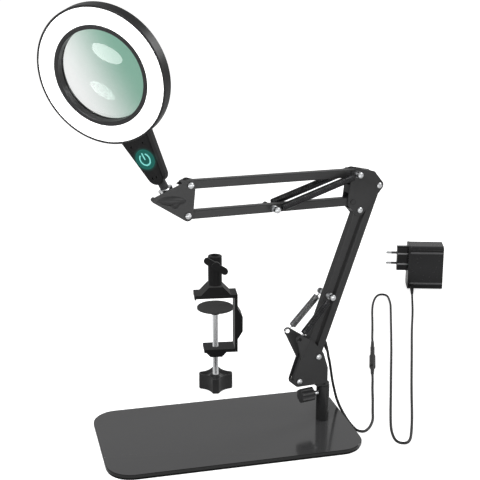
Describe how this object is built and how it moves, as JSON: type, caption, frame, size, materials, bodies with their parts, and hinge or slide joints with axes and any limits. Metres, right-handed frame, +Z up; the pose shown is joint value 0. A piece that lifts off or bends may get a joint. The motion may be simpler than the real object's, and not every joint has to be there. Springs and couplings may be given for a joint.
{
  "type": "magnifying lamp",
  "caption": "Ring-lit magnifier on a spring-balanced parallelogram arm, with a ball-jointed head, weighted base, spare table clamp and plug-in adaptor on a lead",
  "frame": {"origin": "centre of the base's underside, on the table", "axes": "+Z is up; +X runs along the base plate towards the post; +Y is towards the back, where the spare clamp stands"},
  "size_m": [0.724, 0.601, 0.5445],
  "materials": {
    "pad_rubber": "matte",
    "plate_paint": "gloss",
    "frame_paint": "satin",
    "bright_steel": "bright",
    "spring_steel": "drawn wire",
    "chrome": "polished",
    "nylon": "natural",
    "black_plastic": "fine texture",
    "black_gloss": "gloss",
    "white_diffuser": "lit, translucent",
    "board": "solder mask",
    "lens_glass": "polished",
    "button_teal": "lit",
    "cord": "smooth"
  },
  "bodies": {
    "base": {"base_pad": "pad_rubber", "base_plate": "plate_paint", "post": "frame_paint", "post_screw": "bright_steel", "lamp_lead": "cord", "lead_socket": "black_plastic", "lead_plug": "black_plastic", "adaptor_lead": "cord", "adaptor_relief": "black_plastic", "adaptor_case": "black_gloss", "adaptor_plug": "black_gloss", "mains_pins": "bright_steel"},
    "thumb_screw": {"thumb_stud": "bright_steel", "thumb_knob": "black_plastic"},
    "swivel": {"base_bracket": "frame_paint", "swivel_pin": "bright_steel", "base_pivots": "bright_steel", "base_pivot_nuts": "bright_steel"},
    "lower_rear": {"lower_rear_bar": "frame_paint", "lower_rear_bushes": "nylon", "lead_gland": "black_plastic"},
    "lower_front": {"lower_front_bar": "frame_paint", "lower_front_bushes": "nylon", "lower_spring_pin": "bright_steel", "lower_springs": "spring_steel"},
    "elbow": {"elbow_bracket": "frame_paint", "elbow_pivots": "bright_steel", "elbow_bolt": "bright_steel", "elbow_nuts": "bright_steel"},
    "upper_top": {"upper_top_bar": "frame_paint", "upper_top_bushes": "nylon"},
    "upper_bottom": {"upper_bottom_bar": "frame_paint", "upper_bottom_bushes": "nylon", "upper_spring_pin": "bright_steel", "upper_springs": "spring_steel"},
    "head_carrier": {"head_bracket": "frame_paint", "head_pivots": "bright_steel", "head_pivot_nuts": "bright_steel", "nose_spacer": "black_plastic"},
    "knuckle": {"ball_stud": "bright_steel", "neck_collar": "chrome"},
    "head": {"neck_rod": "black_plastic", "rear_shell": "black_plastic", "led_board": "board", "diffuser": "white_diffuser", "lens": "lens_glass", "lens_bezel": "black_plastic", "handle_cover": "black_plastic", "touch_board": "board", "touch_button": "button_teal", "handle_screws": "bright_steel"},
    "clamp_foot": {"clamp_pad": "black_plastic"},
    "clamp_spindle": {"clamp_screw": "chrome", "star_knob": "black_plastic"},
    "clamp_body": {"clamp_frame": "frame_paint", "clamp_column": "frame_paint"},
    "wing": {"wing_screw": "black_plastic"}
  },
  "joints": [
    {"name": "thumb_turn", "type": "hinge", "parent": "base", "child": "thumb_screw", "pos_m": [0.129, 0, 0.0455], "axis": [-0.9763, -0.2164, 0], "continuous": true},
    {"name": "swivel", "type": "hinge", "parent": "base", "child": "swivel", "pos_m": [0.129, 0, 0.056], "axis": [0, 0, 1], "range_deg": [-20, 120], "deforming": ["lamp_lead"]},
    {"name": "lower_fold", "type": "hinge", "parent": "swivel", "child": "lower_rear", "pos_m": [0.11728, -0.0026, 0.098], "axis": [0.2164, -0.9763, 0], "range_deg": [-6, 35], "deforming": ["lower_springs", "lamp_lead"]},
    {"name": "lower_front_turn", "type": "hinge", "parent": "swivel", "child": "lower_front", "pos_m": [0.0905, -0.00854, 0.06959], "axis": [0.2164, -0.9763, 0], "range_deg": [-6, 35], "deforming": ["lower_springs"]},
    {"name": "elbow_level", "type": "hinge", "parent": "lower_rear", "child": "elbow", "pos_m": [0.19741, 0.01517, 0.31179], "axis": [0.2164, -0.9763, 0], "range_deg": [-35, 6]},
    {"name": "upper_fold", "type": "hinge", "parent": "elbow", "child": "upper_top", "pos_m": [0.1647, 0.00791, 0.32979], "axis": [0.2164, -0.9763, 0], "range_deg": [-20, 35], "deforming": ["upper_springs"]},
    {"name": "upper_bottom_turn", "type": "hinge", "parent": "elbow", "child": "upper_bottom", "pos_m": [0.16108, 0.00711, 0.29448], "axis": [0.2164, -0.9763, 0], "range_deg": [-20, 35], "deforming": ["upper_springs"]},
    {"name": "head_level", "type": "hinge", "parent": "upper_top", "child": "head_carrier", "pos_m": [-0.05186, -0.04009, 0.33889], "axis": [0.2164, -0.9763, 0], "range_deg": [-35, 20]},
    {"name": "head_tilt", "type": "hinge", "parent": "head_carrier", "child": "knuckle", "pos_m": [-0.0708, -0.04429, 0.31949], "axis": [0.2164, -0.9763, 0], "range_deg": [-25, 3]},
    {"name": "head_swivel", "type": "hinge", "parent": "knuckle", "child": "head", "pos_m": [-0.0708, -0.04429, 0.31949], "axis": [-0.4411, 0.0871, 0.8932], "range_deg": [-90, 90]},
    {"name": "clamp_lift", "type": "slide", "parent": "base", "child": "clamp_foot", "axis": [0, 0, 1], "range_m": [0, 0.15]},
    {"name": "spindle_turn", "type": "hinge", "parent": "clamp_foot", "child": "clamp_spindle", "pos_m": [0.0205, 0.145, 0], "axis": [0, 0, 1], "range_deg": [-2880, 1440]},
    {"name": "clamp_travel", "type": "slide", "parent": "clamp_foot", "child": "clamp_body", "axis": [0, 0, 1], "range_m": [-0.012, 0.024]},
    {"name": "wing_turn", "type": "hinge", "parent": "clamp_body", "child": "wing", "pos_m": [0.0205, 0.145, 0.1825], "axis": [-0.1305, -0.9914, 0], "continuous": true}
  ],
  "couplings": [
    {"joint": "lower_front_turn", "follows": "lower_fold", "ratio": 1},
    {"joint": "elbow_level", "follows": "lower_fold", "ratio": -1},
    {"joint": "upper_bottom_turn", "follows": "upper_fold", "ratio": 1},
    {"joint": "head_level", "follows": "upper_fold", "ratio": -1},
    {"joint": "spindle_turn", "follows": "clamp_travel", "rad_per_m": -2094.4}
  ]
}
